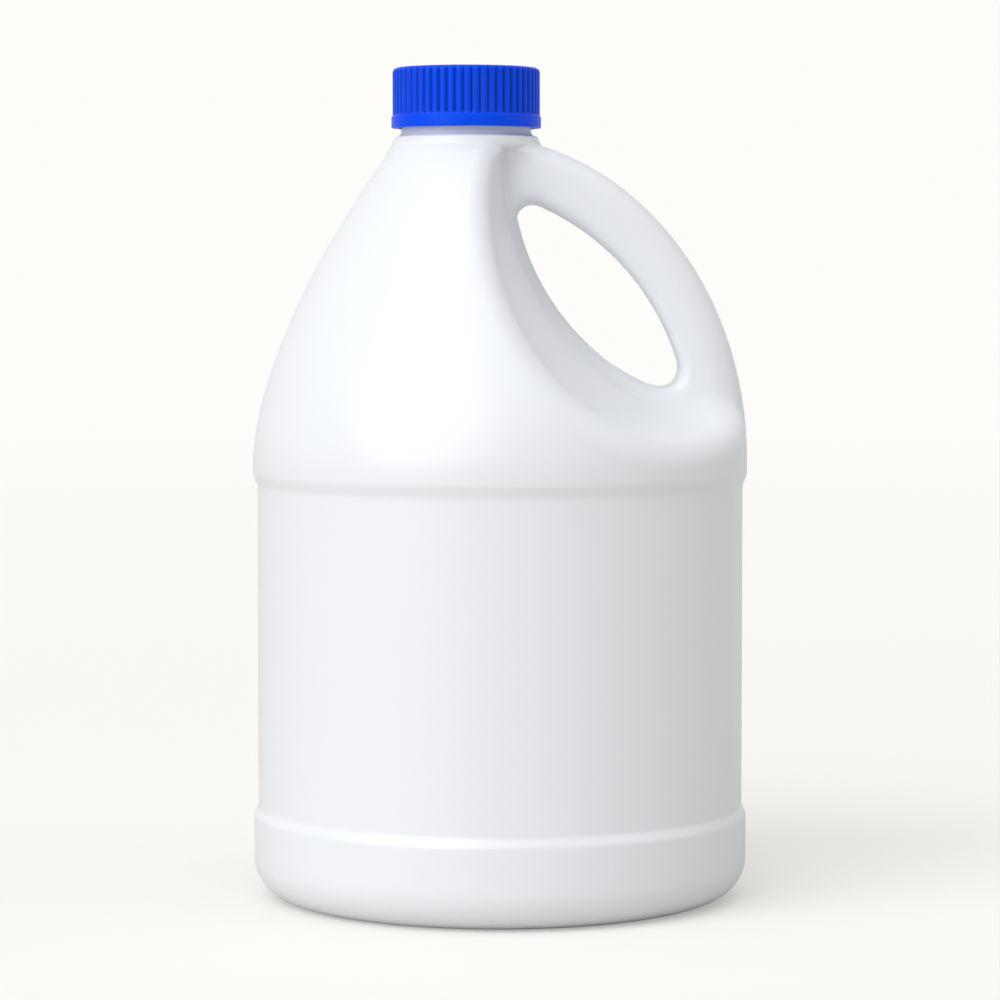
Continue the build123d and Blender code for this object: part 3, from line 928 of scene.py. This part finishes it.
class JUG_OT_stage(bpy.types.Operator):
    """Make the pale floor, the backdrop, the soft light and the camera"""
    bl_idname = "jug.stage"
    bl_label = "Stage"

    LENS = 133.2                     # millimetres, on a sensor of this width
    SENSOR = 36.0
    CAMERA = (0.0, -1.1122, 0.18976)
    PITCH = 3.634                    # degrees that the camera looks down
    LAMP_SPREAD = 60.0               # degrees of the sky that each lamp fills
    KEY_STRENGTH = 2.0
    KEY_FROM = (-0.55, -0.65, 0.50)
    FILL_STRENGTH = 0.42
    FILL_FROM = (0.93, -0.1, 0.35)
    SKY_HIGH = 1.55                  # strength of the sky straight above
    SKY_POWER = 3.0                  # how fast it grows towards there
    SKY_SEEN = 0.8                   # strength of the backdrop in reflections
    FLOOR_HALF = 30.0
    FLOOR_GLOW = 0.35                # share of the backdrop's own colour near the jug
    GLOW_FROM, GLOW_TO = 0.6, 3.0    # metres from the jug between which that share grows to 1
    BOUNCE = 0.78                    # how much of its colour the floor throws on the jug

    def execute(self, context):
        look = context.scene.finishes
        self.floor(look)
        self.sky(context.scene, look)
        self.lamp(context.scene, "key", self.KEY_STRENGTH, self.KEY_FROM)
        self.lamp(context.scene, "fill", self.FILL_STRENGTH, self.FILL_FROM)
        lens = bpy.data.cameras.new("camera")
        lens.lens, lens.sensor_width = self.LENS, self.SENSOR
        lens.clip_end = 100.0
        camera = bpy.data.objects.new("camera", lens)
        camera.location = self.CAMERA
        camera.rotation_euler = (np.radians(90 - self.PITCH), 0, 0)
        context.scene.collection.objects.link(camera)
        context.scene.camera = camera
        context.scene.view_settings.view_transform = "Standard"
        return {"FINISHED"}

    def lamp(self, scene, name, strength, toward):
        """Far, wide and soft light from one direction."""
        light = bpy.data.lights.new(name, "SUN")
        light.energy = strength
        light.angle = np.radians(self.LAMP_SPREAD)
        lamp = bpy.data.objects.new(name, light)
        lamp.rotation_euler = Vector(toward).to_track_quat("Z", "Y").to_euler()
        scene.collection.objects.link(lamp)

    def floor(self, look):
        """Flat floor that fades into the backdrop's colour far from the jug. The camera sees
        it so, and the jug is lit by a dimmer one."""
        half = self.FLOOR_HALF
        corners = np.array(((-half, -half, 0), (half, -half, 0), (half, half, 0), (-half, half, 0)))
        plane = mesh_object("floor", corners, np.array(((0, 1, 2, 3),)))
        material, nodes, shader = new_material("pale_floor")
        reach = nodes.add("ShaderNodeVectorMath", {0: nodes.place()}, operation="LENGTH")
        fade = nodes.add("ShaderNodeMapRange", {
            "Value": reach.outputs["Value"], "From Min": self.GLOW_FROM,
            "From Max": self.GLOW_TO, "To Min": self.FLOOR_GLOW})
        glow = nodes.add("ShaderNodeEmission", {"Color": (*look.backdrop, 1.0), "Strength": 1.0})
        seen = nodes.add("ShaderNodeMixShader", {
            "Fac": fade.outputs["Result"], 1: shader.outputs["BSDF"], 2: glow.outputs["Emission"]})
        dim = nodes.add("ShaderNodeBsdfDiffuse", {
            "Color": (*(self.BOUNCE * channel for channel in look.floor), 1.0)})
        path = nodes.add("ShaderNodeLightPath", {})
        mix = nodes.add("ShaderNodeMixShader", {
            "Fac": path.outputs["Is Camera Ray"], 1: dim.outputs["BSDF"],
            2: seen.outputs["Shader"]})
        nodes.feed(nodes.tree.nodes["Material Output"], {"Surface": mix.outputs["Shader"]})
        nodes.feed(shader, {
            "Base Color": (*look.floor, 1.0), "Roughness": 0.9, "Specular IOR Level": 0.1})
        plane.data.materials.append(material)

    def sky(self, scene, look):
        """Soft light on matt surfaces, growing from the horizon to straight above. The camera
        sees the backdrop's colour instead, and reflections see a little less of it."""
        world = bpy.data.worlds.new("studio")
        scene.world = world
        world.use_nodes = True
        nodes = Nodes(world.node_tree)
        way = nodes.add("ShaderNodeTexCoord", {}).outputs["Generated"]
        up = nodes.add("ShaderNodeSeparateXYZ", {"Vector": way}).outputs["Z"]
        rise = nodes.add("ShaderNodeMath", {0: up, 1: 0.0}, operation="MAXIMUM")
        curve = nodes.add("ShaderNodeMath", {
            0: rise.outputs[0], 1: self.SKY_POWER}, operation="POWER")
        level = nodes.add("ShaderNodeMath", {
            0: curve.outputs[0], 1: self.SKY_HIGH}, operation="MULTIPLY")
        path = nodes.add("ShaderNodeLightPath", {})
        seen = nodes.add("ShaderNodeMix", {
            "Factor": path.outputs["Is Camera Ray"], "A": self.SKY_SEEN, "B": 1.0})
        light = nodes.tree.nodes["Background"]
        nodes.feed(light, {"Color": (1.0, 1.0, 1.0, 1.0), "Strength": level.outputs[0]})
        backdrop = nodes.add("ShaderNodeBackground", {
            "Color": (*look.backdrop, 1.0), "Strength": seen.outputs["Result"]})
        mix = nodes.add("ShaderNodeMixShader", {
            "Fac": path.outputs["Is Diffuse Ray"], 1: backdrop.outputs["Background"],
            2: light.outputs["Background"]})
        nodes.feed(nodes.tree.nodes["World Output"], {"Surface": mix.outputs["Shader"]})


class JUG_PT_panel(bpy.types.Panel):
    """The jug's pieces and their sizes"""
    bl_label = "Handled jug"
    bl_idname = "JUG_PT_panel"
    bl_space_type = "VIEW_3D"
    bl_region_type = "UI"
    bl_category = "Jug"

    def draw(self, context):
        for step in STEPS:
            self.layout.operator(step.bl_idname)
        for key in GROUPS:
            box = self.layout.box()
            group = getattr(context.scene, key)
            for name in group.__annotations__:
                box.prop(group, name)


GROUPS = {
    "jug_sizes": JugSizes, "thread_sizes": ThreadSizes, "cap_sizes": CapSizes,
    "finishes": Finishes}
STEPS = (JUG_OT_stage, JUG_OT_body, JUG_OT_cap, JUG_OT_liner)


def register():
    for kind in (*GROUPS.values(), *STEPS, JUG_PT_panel):
        bpy.utils.register_class(kind)
    for key, kind in GROUPS.items():
        setattr(bpy.types.Scene, key, bpy.props.PointerProperty(type=kind))


def unregister():
    for key in GROUPS:
        delattr(bpy.types.Scene, key)
    for kind in reversed((*GROUPS.values(), *STEPS, JUG_PT_panel)):
        bpy.utils.unregister_class(kind)


def main():
    register()
    bpy.ops.jug.stage()
    bpy.ops.jug.body()
    bpy.ops.jug.cap()
    bpy.ops.jug.liner()


if __name__ == "__main__":
    main()
